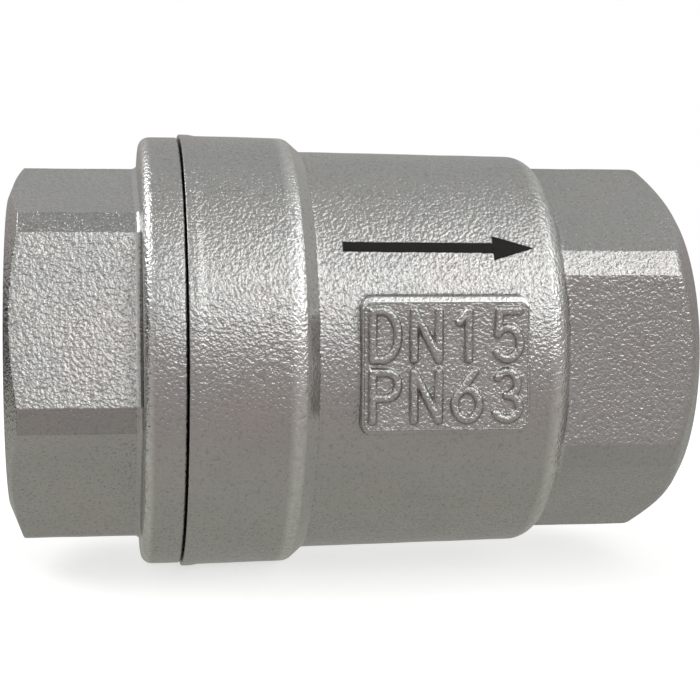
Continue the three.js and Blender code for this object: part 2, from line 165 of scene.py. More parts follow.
def hexagon(flats, corner_flat, rounding, turn=0.0, spacing=0.75):
    """Angles and radii around a wrench hexagon whose flats face -Y and +Y before it is turned."""
    reach = flats / math.sqrt(3) - corner_flat / 2 * math.tan(math.radians(30))
    corners = []
    for k in range(6):
        a = math.radians(60 * k + 30)
        cosine, sine = math.cos(a), math.sin(a)
        for along in (-corner_flat / 2, corner_flat / 2):
            corners.append([reach * cosine - along * sine, reach * sine + along * cosine])
    outline = round_corners(np.array(corners)[:, None, :], [rounding] * len(corners), 4)
    outline = subdivide(outline, lambda _: spacing)[:, 0]
    angles = np.arctan2(outline[:, 1], outline[:, 0]) + math.radians(turn)
    return angles, np.hypot(outline[:, 0], outline[:, 1])


def section(corners, columns, steps, longest=lambda _: ROW_GAP):
    """The rounded section of a turned or hexagonal piece, as (row, column, [x, r])."""
    wide = [[np.broadcast_to(x, columns), np.broadcast_to(r, columns)] for x, r, _ in corners]
    points = np.array(wide)
    points = points.transpose(0, 2, 1).astype(float)
    return subdivide(round_corners(points, [fillet for _, _, fillet in corners], steps), longest)


def swept(rows, angles):
    """Turns a section about the flow axis: (row, column, [x, r]) to points."""
    x, r = rows[..., 0], rows[..., 1]
    return np.stack([x, r * np.cos(angles), r * np.sin(angles)], axis=-1)


def round_angles(columns):
    return np.arange(columns) * 2 * math.pi / columns


def lathe(name, corners, material, columns=120):
    """A turned piece."""
    return closed_piece(name, swept(section(corners, columns, 4), round_angles(columns)), [material])


def closed_piece(name, points, materials, face_material=None):
    """A closed mesh over swept points, whose grid joins up both ways."""
    faces = grid_faces(*points.shape[:2], True, True)
    return outward(new_piece(name, points.reshape(-1, 3), faces, materials, face_material))


def grid_border(rows, columns):
    """Numbers of the points round the border of a grid, in order."""
    down = [(i, 0) for i in range(rows)]
    across = [(rows - 1, j) for j in range(1, columns)]
    up = [(i, columns - 1) for i in range(rows - 2, -1, -1)]
    back = [(0, j) for j in range(columns - 2, 0, -1)]
    return np.array([i * columns + j for i, j in down + across + up + back])


def outward(obj):
    """Turns a closed mesh's faces outwards."""
    mesh = obj.data
    points = np.array([v.co for v in mesh.vertices])
    mesh.calc_loop_triangles()
    tris = np.array([t.vertices for t in mesh.loop_triangles])
    a, b, c = points[tris[:, 0]], points[tris[:, 1]], points[tris[:, 2]]
    if np.einsum("ij,ij->i", a, np.cross(b, c)).sum() < 0:
        mesh.flip_normals()
    return obj


def join(name, parts):
    """Joins meshes that share their list of materials into the first of them."""
    bpy.ops.object.select_all(action="DESELECT")
    for part in parts:
        part.select_set(True)
    bpy.context.view_layer.objects.active = parts[0]
    bpy.ops.object.join()
    parts[0].name = name
    parts[0].select_set(False)
    return parts[0]


def apply_modifiers(obj):
    """Replaces the mesh with what its modifiers make of it."""
    graph = bpy.context.evaluated_depsgraph_get()
    mesh = bpy.data.meshes.new_from_object(obj.evaluated_get(graph))
    obj.modifiers.clear()
    obj.data = mesh
    mesh.polygons.foreach_set("use_smooth", [True] * len(mesh.polygons))
    return obj


def assign(piece, body, *nodes, slot):
    """Makes a finished piece move with a body and stand for CAD nodes."""
    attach(piece, body)
    if nodes:
        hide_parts(*nodes)
    return piece


# ------------------------------------------------------------------ materials


class Nodes:
    """A short way to write a node tree."""

    def __init__(self, tree):
        self.tree = tree

    def add(self, kind, **settings):
        node = self.tree.nodes.new(kind)
        for key, value in settings.items():
            setattr(node, key, value)
        return node

    def link(self, out, into):
        self.tree.links.new(out, into)

    def split(self, place):
        """The x, y and z of a place."""
        node = self.add("ShaderNodeSeparateXYZ")
        self.link(place, node.inputs[0])
        return tuple(node.outputs)

    def remap(self, value, low, high, to_low, to_high, smooth=False):
        node = self.add("ShaderNodeMapRange", interpolation_type="SMOOTHSTEP" if smooth else "LINEAR")
        for key, number in zip(("From Min", "From Max", "To Min", "To Max"), (low, high, to_low, to_high)):
            node.inputs[key].default_value = number
        self.link(value, node.inputs["Value"])
        return node.outputs["Result"]

    def math(self, operation, a, b):
        node = self.add("ShaderNodeMath", operation=operation)
        for socket, value in zip(node.inputs, (a, b)):
            if isinstance(value, (int, float)):
                socket.default_value = value
            else:
                self.link(value, socket)
        return node.outputs[0]

    def blend(self, factor, a, b):
        node = self.add("ShaderNodeMix", data_type="RGBA")
        for socket, colour in ((node.inputs[6], a), (node.inputs[7], b)):
            if isinstance(colour, tuple):
                socket.default_value = (*colour, 1)
            else:
                self.link(colour, socket)
        if isinstance(factor, (int, float)):
            node.inputs[0].default_value = factor
        else:
            self.link(factor, node.inputs[0])
        return node.outputs[2]


class Surface(Nodes):
    """A material's node tree. Its place is the point on the object, in millimetres."""

    def __init__(self, name):
        self.material = bpy.data.materials.new(name)
        self.material.use_nodes = True
        super().__init__(self.material.node_tree)
        self.shader = self.tree.nodes["Principled BSDF"]
        coordinates = self.add("ShaderNodeTexCoord")
        scale = self.add("ShaderNodeVectorMath", operation="SCALE")
        scale.inputs["Scale"].default_value = 1 / MM
        self.link(coordinates.outputs["Object"], scale.inputs[0])
        self.place = scale.outputs[0]

    def noise(self, scale, detail=2.0, rough=0.5, place=None):
        node = self.add("ShaderNodeTexNoise")
        node.inputs["Scale"].default_value = scale
        node.inputs["Detail"].default_value = detail
        node.inputs["Roughness"].default_value = rough
        self.link(place or self.place, node.inputs["Vector"])
        return node.outputs["Fac"]

    def band(self, x, half_width):
        """1 round the valve at x on the flow axis, running out to 0 at half_width either side of it."""
        away = self.math("ABSOLUTE", self.math("SUBTRACT", self.split(self.place)[0], x), 0)
        return self.remap(away, 0.3 * half_width, half_width, 1, 0)

    def painted_crease_shade(self, reach_mm, most):
        """How much painted shade a crease gets: 0 in the open, up to most where walls stand close together.
        """
        node = self.add("ShaderNodeAmbientOcclusion", samples=6)
        node.inputs["Distance"].default_value = reach_mm * MM
        return self.remap(node.outputs["AO"], 0.9, 0.35, 0, most)

    def bump(self, height, depth_mm, under=None):
        """Bumps of a height field between 0 and 1 that is depth_mm deep."""
        node = self.add("ShaderNodeBump")
        node.inputs["Strength"].default_value = 1
        node.inputs["Distance"].default_value = depth_mm * MM
        self.link(height, node.inputs["Height"])
        if under:
            self.link(under, node.inputs["Normal"])
        return node.outputs["Normal"]

    def finish(self, colour=None, roughness=None, normal=None, **values):
        """The material. Each of values is an input of its shader, with _ for a blank."""
        for key, source in (("Base Color", colour), ("Roughness", roughness), ("Normal", normal)):
            if source is not None:
                self.link(source, self.shader.inputs[key])
        for key, value in values.items():
            self.shader.inputs[key.replace("_", " ")].default_value = value
        return self.material


BLACK = (0, 0, 0)
WEAR_AND_HIGHLIGHT_TINT = (0.93, 0.93, 0.91)  # steel rubbed bright; also the pale tint of painted highlights and painted light
PALE_GREY, GREEN_GREY, BROWN_GREY = (0.60, 0.59, 0.575), (0.57, 0.575, 0.56), (0.57, 0.54, 0.52)
# the valley grey is partly oxide and partly painted shade; the last colour is painted shade where walls
# stand close
FLECK_GREY, VALLEY_GREY, CREASE_SHADE = (0.48, 0.47, 0.45), (0.40, 0.39, 0.375), (0.14, 0.13, 0.12)
WAVE_DEPTH, GRAIN_DEPTH, FINE_DEPTH = 0.02, 0.11, 0.022  # of the cast skin's bumps


def cast_steel(name, tint=BLACK, amount=0.0, grain_share=1.0, wear_and_highlight_bands=()):
    """Bead-blasted stainless casting: a fine wormy grain on a slightly cloudy grey skin.

    tint is mixed in by amount and grain_share scales the grain's depth. Each of the bands it is given is a
    place on the flow axis and the half width, round it, of a stretch made brighter: steel rubbed bright and,
    in part, a painted highlight.
    """
    n = Surface(name)
    cloud, stain = n.noise(0.22, 3), n.noise(0.13, 4)
    worms, fleck, pits = n.noise(3.9, 1, 0.5), n.noise(1.7, 3, 0.6), n.noise(8, 2, 0.6)
    tone = n.blend(n.remap(cloud, 0.38, 0.62, 0, 1), PALE_GREY, GREEN_GREY)
    marks = (
        (stain, 0.5, 0.68, 0.4, BROWN_GREY),
        (fleck, 0.52, 0.75, 0.35, FLECK_GREY),
        # the grain's valleys and pits are darkened, partly as oxide and partly as painted shade
        (worms, 0.45, 0.25, 0.6, VALLEY_GREY),
        (pits, 0.45, 0.3, 0.5, VALLEY_GREY),
    )
    for pattern, start, full, most, colour in marks:
        tone = n.blend(n.remap(pattern, start, full, 0, most), tone, colour)
    tone = n.blend(amount, tone, tint)
    # bands rubbed bright, partly from use and partly a painted highlight
    for x, half_width in wear_and_highlight_bands:
        wear_and_highlight = n.math("MULTIPLY", n.band(x, half_width), n.remap(fleck, 0.3, 0.7, 0.3, 0.8))
        tone = n.blend(wear_and_highlight, tone, WEAR_AND_HIGHLIGHT_TINT)
    # painted shade: darker where walls stand close, at the feet of the letters, the pad and the slopes
    tone = n.blend(n.painted_crease_shade(0.4, 0.8), tone, CREASE_SHADE)
    roughness = n.math("ADD", n.remap(fleck, 0.3, 0.7, 0.17, 0.23), n.remap(cloud, 0.3, 0.7, -0.02, 0.03))
    wave = n.bump(n.noise(1.4, 1), WAVE_DEPTH)
    grain = n.bump(worms, GRAIN_DEPTH * grain_share, wave)
    fine = n.bump(n.noise(8, 1, 0.5), FINE_DEPTH * grain_share, grain)
    return n.finish(tone, roughness, fine, Metallic=1)


def turned_steel(name, colour, roughness, groove):
    """Machined stainless: fine rings left by the tool, all round the flow axis."""
    n = Surface(name)
    x, y, z = n.split(n.place)
    radius = n.math("SQRT", n.math("ADD", n.math("MULTIPLY", y, y), n.math("MULTIPLY", z, z)), 0)
    rings = n.add("ShaderNodeCombineXYZ")
    n.link(x, rings.inputs[0])
    n.link(radius, rings.inputs[1])
    lines = n.noise(9, 3, 0.6, rings.outputs[0])
    smudge = n.noise(0.5, 3)
    dark = tuple(c * 0.86 for c in colour)
    tone = n.blend(n.remap(smudge, 0.35, 0.7, 0, 1), colour, dark)
    line_rough = n.remap(lines, 0.3, 0.7, roughness - 0.04, roughness + 0.06)
    rough = n.math("ADD", line_rough, n.remap(smudge, 0.3, 0.7, -0.03, 0.05))
    return n.finish(tone, rough, n.bump(lines, groove), Metallic=1)


def spring_steel():
    """Drawn wire and punched sheet: smooth, with faint scratches and a dull patch here and there."""
    n = Surface("spring_steel")
    smudge = n.noise(0.8, 3)
    fine = n.noise(7, 2)
    tone = n.blend(n.remap(smudge, 0.35, 0.65, 0, 1), (0.60, 0.60, 0.60), (0.50, 0.49, 0.48))
    return n.finish(tone, n.remap(smudge, 0.3, 0.7, 0.2, 0.34), n.bump(fine, 0.006), Metallic=1)


def white_ptfe():
    """Soft white plastic with a waxy sheen and a faintly uneven surface."""
    n = Surface("white_ptfe")
    cloud = n.noise(0.6, 3)
    tone = n.blend(n.remap(cloud, 0.3, 0.7, 0, 1), (0.86, 0.85, 0.81), (0.80, 0.79, 0.74))
    rough, uneven = n.remap(cloud, 0.3, 0.7, 0.42, 0.55), n.bump(n.noise(4, 3), 0.012)
    return n.finish(tone, rough, uneven, Subsurface_Weight=0.15, Subsurface_Scale=0.6 * MM)


def etched_black():
    """The dark mark burnt into the casting's skin."""
    n = Surface("etched_black")
    cloud = n.noise(1.2, 3)
    tone = n.blend(n.remap(cloud, 0.4, 0.7, 0, 1), (0.006, 0.0055, 0.004), (0.014, 0.010, 0.006))
    grain = n.bump(n.noise(3.4, 2, 0.55), 0.02)
    return n.finish(tone, n.remap(cloud, 0.3, 0.7, 0.45, 0.6), grain, Specular_IOR_Level=0.25)


# bands rubbed bright, partly from use and partly a painted highlight where these edges catch the light
WEAR_AND_HIGHLIGHT_BANDS = (  # the cap's flange edge, the collar's end and the barrel's end
    (FLANGE_X + 0.3, 0.5),
    (COLLAR_END - 0.3, 0.8),
    (BARREL_END - 0.9, 1.0),
)
CAST = cast_steel("cast_steel", wear_and_highlight_bands=WEAR_AND_HIGHLIGHT_BANDS)
# painted shade: a darker copy of the cast skin for the cap's corner flats
SHADED_CORNER = cast_steel("corner_painted_shade", BLACK, 0.18)
# a shallower grain, tinted a little lighter as painted light: on the body's shoulder and round the cap
# flange's foot
SHOULDER = cast_steel("shoulder_skin", WEAR_AND_HIGHLIGHT_TINT, 0.05, 0.22)
# painted highlight: a pale tint for the upward-facing bevel of the pad
HIGHLIGHT_BEVEL_SKIN = cast_steel("painted_highlight_edge", WEAR_AND_HIGHLIGHT_TINT, 0.45, 0.6)
HEX_SKIN = cast_steel("hex_skin", BLACK, 0.06, 0.75)
BORED = turned_steel("bored_steel", (0.60, 0.59, 0.57), 0.26, 0.012)
SKINS = [CAST, BORED, SHADED_CORNER, SHOULDER, HIGHLIGHT_BEVEL_SKIN, HEX_SKIN]
TURNED = turned_steel("turned_steel", (0.66, 0.655, 0.64), 0.2, 0.008)
SPRING = spring_steel()
PTFE = white_ptfe()
ETCHED = etched_black()


# ------------------------------------------------------------------ pressure shell


def casting_waves(points):
    """How far the cast skin stands out at each point, in millimetres."""
    out = np.empty(len(points))
    for i, p in enumerate(points):
        out[i] = 0.022 * noise.noise(Vector(p) * 0.3) + 0.008 * noise.noise(Vector(p) * 0.9)
    return out


def add_waves(points):
    """Moves the outside of a casting in or out by its waves."""
    flat = points.reshape(-1, 3)
    radius = np.hypot(flat[:, 1], flat[:, 2])
    outside = np.clip((radius - BODY_FACE_R) / 0.6, 0, 1)
    scale = 1 + casting_waves(flat) * outside / np.maximum(radius, 1)
    flat[:, 1] *= scale
    flat[:, 2] *= scale
    return points


def port_corners(end_x, inward, port_end, port_r):
    """Corners of a port's inside, from the back of it out to its mouth."""
    crest_foot = THREAD_CREST_R - THREAD_DEPTH * THREAD_TAPER
    mouth_depth = MOUTH_R - THREAD_CREST_R
    return [
        (port_end, port_r, 0.1),
        (end_x + inward * (THREAD_DEPTH + crest_foot - port_r), port_r, 0.1),
        (end_x + inward * THREAD_DEPTH, crest_foot, 0),
        (end_x + inward * mouth_depth, THREAD_CREST_R - mouth_depth * THREAD_TAPER, 0),
        (end_x, MOUTH_R, 0.12),
    ]


def end_corners(end_x, inward, face_r, chamfer, hex_r, rounding):
    """Corners of an end's outside: face, chamfer and the start of the hexagon."""
    return [
        (end_x, face_r, 0.2),
        (end_x + inward * (hex_r - face_r) * chamfer, hex_r, rounding),
    ]


def rim_corners(hex_r):
    """The barrel's round outlet edge and the fillet from it to the hexagon, exact at every angle."""
    round_x, round_r = BARREL_END - BARREL_ROUND, BARREL_R - BARREL_TAPER - BARREL_ROUND
    fillet_r = hex_r + RIM
    fillet_x = round_x + np.sqrt((BARREL_ROUND + RIM) ** 2 - (fillet_r - round_r) ** 2)
    meet = np.arctan2(fillet_r - round_r, fillet_x - round_x)
    corners = []
    for t in np.linspace(0, 1, 6):
        a = -math.pi / 2 + t * (meet - math.pi / 2)
        corners.append((fillet_x + RIM * np.cos(a), fillet_r + RIM * np.sin(a), 0))
    for t in np.linspace(0, 1, 14)[1:]:
        a = meet + t * (math.pi / 2 - meet)
        corners.append((round_x + BARREL_ROUND * np.cos(a), round_r + BARREL_ROUND * np.sin(a), 0))
    return corners


def pipe_spacing(middle):
    """Rows lie close together where the pipe thread is cut."""
    x, r = middle
    return 0.13 if r < MOUTH_R and abs(x) > OUTLET_X - THREAD_DEPTH - 0.2 else ROW_GAP


def cut_pipe_thread(rows, angles, end_x, inward):
    """Cuts the tapered 60 degree thread outwards into a port's wall."""
    height, flank, crest, runout_turns = 1.3, 0.42, 0.08, 1.6
    x, r = rows[..., 0], rows[..., 1]
    depth = (x - end_x) * inward
    inside = (r < MOUTH_R + 0.01) & (depth > -0.01) & (depth < THREAD_DEPTH)
    phase = np.mod(x / THREAD_PITCH - angles[None, :] / (2 * math.pi), 1)
    profile = np.clip((0.5 - np.abs(phase - 0.5)) / flank - crest, 0, 1)
    runout = np.clip((THREAD_DEPTH - depth) / (runout_turns * THREAD_PITCH), 0, 1)
    wall = THREAD_CREST_R - depth * THREAD_TAPER + height * profile * runout
    rows[..., 1] = np.where(inside, np.maximum(r, wall), r)
    return rows


def casting(name, corners, angles, end_x, inward, skins):
    """A casting with its machined port. skins(x, r, angles) says which of SKINS covers each face."""
    rows = cut_pipe_thread(section(corners, len(angles), 5, pipe_spacing), angles, end_x, inward)
    points = add_waves(swept(rows, angles))
    x, r = ((rows + np.roll(rows, -1, 0))[:, 0] / 2).T
    return closed_piece(name, points, SKINS, skins(x, r, angles).ravel())


def cap_skins(x, r, angles):
    """The cap: machined inside and on its joint face, smooth and a little lighter round the flange's foot,
    with painted light there, and painted shade on its corner flats.
    """
    machined = (r < BODY_FACE_R + 0.05) | (x > PARTING_X - 0.12) & (r < FLANGE_R - 0.4)
    flange_foot = (x > FLANGE_X - 0.6) & (x < FLANGE_X + 0.1) & (r < FLANGE_R - 0.8)
    numbers = np.where(machined, SKINS.index(BORED), SKINS.index(CAST))
    numbers[flange_foot] = SKINS.index(SHOULDER)
    on_hexagon = (x > INLET_X + 0.9) & (x < FLANGE_X - 0.2) & (numbers == SKINS.index(CAST))
    off_corner = np.abs(np.mod(np.degrees(angles) - CAP_HEX_TURN, 60) - 30)
    # the corner flats take the painted shade
    on_corner = on_hexagon[:, None] & (off_corner < 4)[None, :]
    return np.where(on_corner, SKINS.index(SHADED_CORNER), numbers[:, None])


def body_skins(x, r, angles):
    """The body: machined inside, smooth and a little lighter on its shoulder, with painted light there, and
    a shallower grain on its hexagon.
    """
    machined = (r < BODY_FACE_R + 0.05) | (x < COLLAR_END) & (r < COLLAR_R - 0.5)
    shoulder = (x > COLLAR_END + 0.12) & (x < SHOULDER_END - 0.1) & (r > BARREL_R)
    numbers = np.where(machined, SKINS.index(BORED), SKINS.index(CAST))
    numbers[~machined & (x > BARREL_END + 0.3)] = SKINS.index(HEX_SKIN)
    numbers[shoulder] = SKINS.index(SHOULDER)
    return np.repeat(numbers[:, None], len(angles), 1)


def cap_casting():
    """The end cap, from its port round by the flange to the spigot that carries the seat."""
    port_r, relief_r, spigot_r = 7.6, 12.6, 13.4
    spigot_end = SEAT_X - 0.5
    angles, hex_r = hexagon(ACROSS_FLATS, CORNER_FLAT, 0.3, CAP_HEX_TURN)
    corners = [
        *port_corners(INLET_X, 1, SEAT_X, port_r),
        *end_corners(INLET_X, 1, CAP_FACE_R, CAP_CHAMFER, hex_r, 0.15),
        (FLANGE_X, hex_r, 0.5),
        (FLANGE_X, FLANGE_R, 0.85),
        (PARTING_X, FLANGE_R, 0.2),
        (PARTING_X, relief_r, 0.15),
        (PARTING_X + 1.2, relief_r, 0.1),
        (PARTING_X + 1.6, spigot_r, 0),
        (SEAT_X - 1.1, spigot_r, 0.1),
        (spigot_end, 12.7, 0.1),
        (spigot_end, 9.0, 0.1),
        (SEAT_X, 8.6, 0.1),
    ]
    return casting("cap_casting", corners, angles, INLET_X, 1, cap_skins)


def body_casting():
    """The body, from its port round by the collar to the cavity, with the pad joined on."""
    port_r, cavity_end = 8.2, 12.6
    gasket_x, gasket_r, spigot_hole_r = PARTING_X + 1.1, 15.0, 13.6
    groove_start, groove_end, groove_r = 8.35, 9.45, CAVITY_R + 0.65
    angles, hex_r = hexagon(ACROSS_FLATS, CORNER_FLAT, 0.3)
    corners = [
        *port_corners(OUTLET_X, -1, cavity_end, port_r),
        *end_corners(OUTLET_X, -1, BODY_FACE_R, BODY_CHAMFER, hex_r, 1.2),
        *rim_corners(hex_r),
        (SHOULDER_END, BARREL_R, 0.35),
        (COLLAR_END, COLLAR_R - COLLAR_TAPER, 1.1),
        (MOUTH_X + 1.3, COLLAR_R, 0.4),
        (MOUTH_X + 0.7, COLLAR_R + COLLAR_LIP, 0.3),
        (MOUTH_X, COLLAR_R + COLLAR_LIP, 0.08),
        (MOUTH_X, gasket_r, 0.1),
        (gasket_x, gasket_r, 0.1),
        (gasket_x, spigot_hole_r, 0.1),
        (-4.3, spigot_hole_r, 0.1),
        (-3.5, CAVITY_R, 0.1),
        (groove_start, CAVITY_R, 0.05),
        (groove_start, groove_r, 0.05),
        (groove_end, groove_r, 0.05),
        (groove_end, CAVITY_R, 0.05),
        (cavity_end, CAVITY_R, 0.2),
    ]
    shell = casting("body_casting", corners, angles, OUTLET_X, -1, body_skins)
    return join("body_casting", [shell, size_pad()])


def barrel_radius(x):
    """Radius of the barrel's drafted wall at x."""
    return BARREL_R - BARREL_TAPER * np.clip((x - SHOULDER_END) / (BARREL_END - SHOULDER_END), 0, 1)


# ------------------------------------------------------------------ the raised pad and its size mark


def arc_points(cx, cz, rx, rz, start, end, count=12):
    a = np.radians(np.linspace(start, end, count))
    return [(cx + rx * math.cos(t), cz + rz * math.sin(t)) for t in a]


# Middle lines of each letter's strokes, on a grid 4 wide and 6 high.
LETTERS = {
    "D": [[(0, 0), (0, 6), (1.6, 6), *arc_points(1.6, 3, 2.4, 3, 90, -90), (0, 0)]],
    "N": [[(0, 0), (0, 6), (4, 0), (4, 6)]],
    "P": [[(0, 0), (0, 6), (2.3, 6), *arc_points(2.3, 4.4, 1.7, 1.6, 90, -90), (0, 2.8)]],
    "1": [[(0.7, 4.6), (2.2, 6), (2.2, 0)]],
    "3": [[*arc_points(1.9, 4.5, 1.7, 1.5, 150, -90), *arc_points(1.9, 1.5, 2.0, 1.5, 90, -150)]],
    "5": [[(3.7, 6), (0.6, 6), (0.35, 3.1), *arc_points(1.9, 1.95, 2.05, 1.95, 135, -145, 16)]],
    "6": [[(3.2, 6), (1.0, 3.6), *arc_points(2, 1.9, 2, 1.9, 150, -180, 20), (0.15, 2.6)]],
}
LETTER_SIZE = (1.87, 3.56)  # between the middles of its outer strokes
LETTER_PITCH = 3.07
LINE_PITCH = 4.5
STROKE_HALF = 0.38
STROKE_RISE = 0.35
STROKE_FLATNESS, STROKE_STEEPNESS = 3.4, 1.35  # of its rounded section


def mark_strokes():
    """Every straight piece of the size mark's strokes, as (x0, z0, x1, z1) about the pad's middle."""
    pieces = []
    for row, text in enumerate(("DN15", "PN63")):
        for column, letter in enumerate(text):
            left = (column - (len(text) - 1) / 2) * LETTER_PITCH - LETTER_SIZE[0] / 2
            foot = (0.5 - row) * LINE_PITCH - LETTER_SIZE[1] / 2
            for line in LETTERS[letter]:
                at = [(left + x * LETTER_SIZE[0] / 4, foot + z * LETTER_SIZE[1] / 6) for x, z in line]
                pieces.extend((*p, *q) for p, q in zip(at, at[1:]) if math.dist(p, q) > 0.01)
    return pieces


def mark_height(x, z):
    """How far the size mark stands out of the pad at each point."""
    nearest = np.full(x.shape, np.inf)
    for x0, z0, x1, z1 in mark_strokes():
        dx, dz = x1 - x0, z1 - z0
        along = np.clip(((x - x0) * dx + (z - z0) * dz) / (dx * dx + dz * dz), 0, 1)
        nearest = np.minimum(nearest, np.hypot(x - x0 - along * dx, z - z0 - along * dz))
    across = np.clip(nearest / STROKE_HALF, 0, 1)
    return STROKE_RISE * (1 - across**STROKE_FLATNESS) ** STROKE_STEEPNESS


def pad_top(width_points, height_points, corner=0.6):
    """A grid over the pad's flat face whose border is a rounded rectangle."""
    w, h = PAD_HALF
    across, upward = np.linspace(-1, 1, width_points), np.linspace(-1, 1, height_points)
    s, t = np.meshgrid(across, upward, indexing="ij")
    edge = np.maximum(np.maximum(np.abs(s), np.abs(t)), 1e-9)
    bx, bz = np.abs(s / edge) * w, np.abs(t / edge) * h
    from_x, from_z = (bx - (w - corner)) / corner, (bz - (h - corner)) / corner
    turn = np.where(np.abs(s) >= np.abs(t), 45 * from_z, 90 - 45 * from_x)
    in_corner = (from_x > 0) & (from_z > 0)
    qx = np.where(in_corner, w - corner + corner * np.cos(np.radians(turn)), bx)
    qz = np.where(in_corner, h - corner + corner * np.sin(np.radians(turn)), bz)
    pull = edge**6
    x = np.sign(s) * edge * (bx + (qx - bx) * pull)
    z = np.sign(t) * edge * (bz + (qz - bz) * pull)
    return x, z


def size_pad():
    """The flat pad on the front of the barrel, its sides run out into the barrel's skin."""
    nx, nz = 251, 201
    x, z = pad_top(nx, nz)
    z = z - PAD_DROOP
    out = PAD_FACE + mark_height(x, z)
    top = np.stack([PAD_X + x, -out, z], axis=-1).reshape(-1, 3)
    numbers = grid_border(nx, nz)
    rim = top[numbers]
    along = (np.roll(rim, -1, 0) - np.roll(rim, 1, 0))[:, [0, 2]]
    normal = np.stack([along[:, 1], -along[:, 0]], axis=-1)
    normal /= np.linalg.norm(normal, axis=1, keepdims=True)
    up = normal[:, 1]
    # the upper edge has the widest bevel, the lower edge less, the two ends almost none
    bevel = 0.14 + 0.28 * np.clip(up, 0, 1) ** 2 + 0.18 * np.clip(-up, 0, 1) ** 2

    def ring(outward_by, drop):
        """Points round the pad, out from its flat face; drop(skin height) is how far below the face."""
        px = rim[:, 0] + normal[:, 0] * outward_by
        pz = rim[:, 2] + normal[:, 1] * outward_by
        over_skin = PAD_FACE - np.sqrt(barrel_radius(px) ** 2 - pz**2)
        return np.stack([px, -(PAD_FACE - drop(over_skin)), pz], axis=-1)

    rings = []
    # down the bevel: out and down, both as shares of its width
    bevel_steps = ((0.08, 0.012), (0.2, 0.06), (0.5, 0.2), (0.84, 0.36), (0.95, 0.44), (1.0, 0.55))
    for share, down in bevel_steps:
        rings.append(ring(bevel * share, lambda _, down=down: bevel * down))
    foot = bevel_steps[-1][1] * bevel
    # down the side and out into the skin: millimetres out, share of the height that is left
    sides = ((0.02, 0.25), (0.04, 0.6), (0.06, 0.82), (0.09, 0.93), (0.14, 0.985), (0.22, 1.0), (0.45, 1.03))
    for more, share in sides:
        rings.append(ring(bevel + more, lambda over, share=share: foot + share * (over - foot)))
    count, start = len(rim), len(top)
    ring_numbers = [numbers] + [start + k * count + np.arange(count) for k in range(len(rings))]
    # painted highlight on the bevel's upward-facing faces
    highlight_skins = np.where(up > 0.4, SKINS.index(HIGHLIGHT_BEVEL_SKIN), SKINS.index(CAST))
    faces = [grid_faces(nx, nz, False, False)]
    face_skin = [np.full(len(faces[0]), SKINS.index(CAST))]
    for k, (inner, outer) in enumerate(zip(ring_numbers, ring_numbers[1:])):
        faces.append(np.stack([inner, outer, np.roll(outer, -1), np.roll(inner, -1)], axis=-1))
        face_skin.append(highlight_skins if k < len(bevel_steps) else np.full(count, SKINS.index(CAST)))
    points = add_waves(np.concatenate([top, *rings]))
    return new_piece("size_pad", points, np.concatenate(faces), SKINS, np.concatenate(face_skin))


def flow_arrow():
    """A plain flow arrow etched on the barrel above the pad, pointing to the outlet."""
    angle = math.radians(180 - 32.5)  # round from +Y: in front and above
    length, shaft, head_length, head = 14.6, 0.85, 3.1, 2.1
    neck, point_half = length - head_length, 0.02
    shaft_rows, head_rows = 50, 24
    left = PAD_X - 0.06 - length / 2
    stations = np.concatenate([np.linspace(0, neck, shaft_rows), np.linspace(neck, length, head_rows)])
    head_half = head / 2 * (length - stations) / head_length + point_half
    half = np.where(np.arange(len(stations)) < shaft_rows, shaft / 2, head_half)
    across = np.linspace(-1, 1, 9)
    x = left + np.repeat(stations[:, None], len(across), 1)
    radius = barrel_radius(x)
    turn = angle - half[:, None] * across[None, :] / radius
    skin = np.stack([x, radius * np.cos(turn), radius * np.sin(turn)], axis=-1)
    lift = casting_waves(skin.reshape(-1, 3)).reshape(x.shape)
    layers = []
    for height in (0.012, -0.05):
        r = radius + lift + height
        layers.append(np.stack([x, r * np.cos(turn), r * np.sin(turn)], axis=-1).reshape(-1, 3))
    rows, columns = x.shape
    upper = grid_faces(rows, columns, False, False)
    lower = upper[:, ::-1] + rows * columns
    loop = grid_border(rows, columns)
    after = np.roll(loop, -1)
    sides = np.stack([loop, after, after + rows * columns, loop + rows * columns], axis=-1)
    faces = np.concatenate([upper, lower, sides])
    return outward(new_piece("flow_arrow", np.concatenate(layers), faces, [ETCHED]))


# ------------------------------------------------------------------ inside


def ring_corners(x0, x1, inner, outer, fillet=0.1):
    return [(x0, inner, fillet), (x0, outer, fillet), (x1, outer, fillet), (x1, inner, fillet)]


def poppet():
    hub_r, disc_r, lip_r, boss_r = 3.4, 10.3, 9.65, 4.3
    corners = [
        (-4.2, STEM_HOLE_R, 0.1), (-4.2, hub_r, 0.1),
        (-3.1, hub_r, 0.05), (-3.1, lip_r, 0.05),
        (-3.9, lip_r, 0.08), (-3.9, disc_r, 0.25),
        (-1.2, disc_r, 0.8), (-1.2, boss_r, 0.2),
        (0.8, boss_r, 0.25), (0.8, STEM_HOLE_R, 0.1),
    ]
    return lathe("poppet_disc", corners, TURNED)


def seat_seal():
    return lathe("seat_seal_ring", ring_corners(-4.5, -3.2, 3.55, 9.5, 0.15), PTFE)


def seal_retainer():
    """A flat washer, chamfered on the side the flow meets."""
    corners = [
        (-5.8, STEM_HOLE_R, 0.1), (-5.8, 6.2, 0.2), (-5.2, 6.7, 0.15), (-4.6, 6.7, 0.05),
        (-4.6, STEM_HOLE_R, 0.05),
    ]
    return lathe("seal_retainer_washer", corners, TURNED)


def spring_washer():
    return lathe("spring_seat_washer", ring_corners(-1.1, -0.5, 4.45, 6.6, 0.12), TURNED)


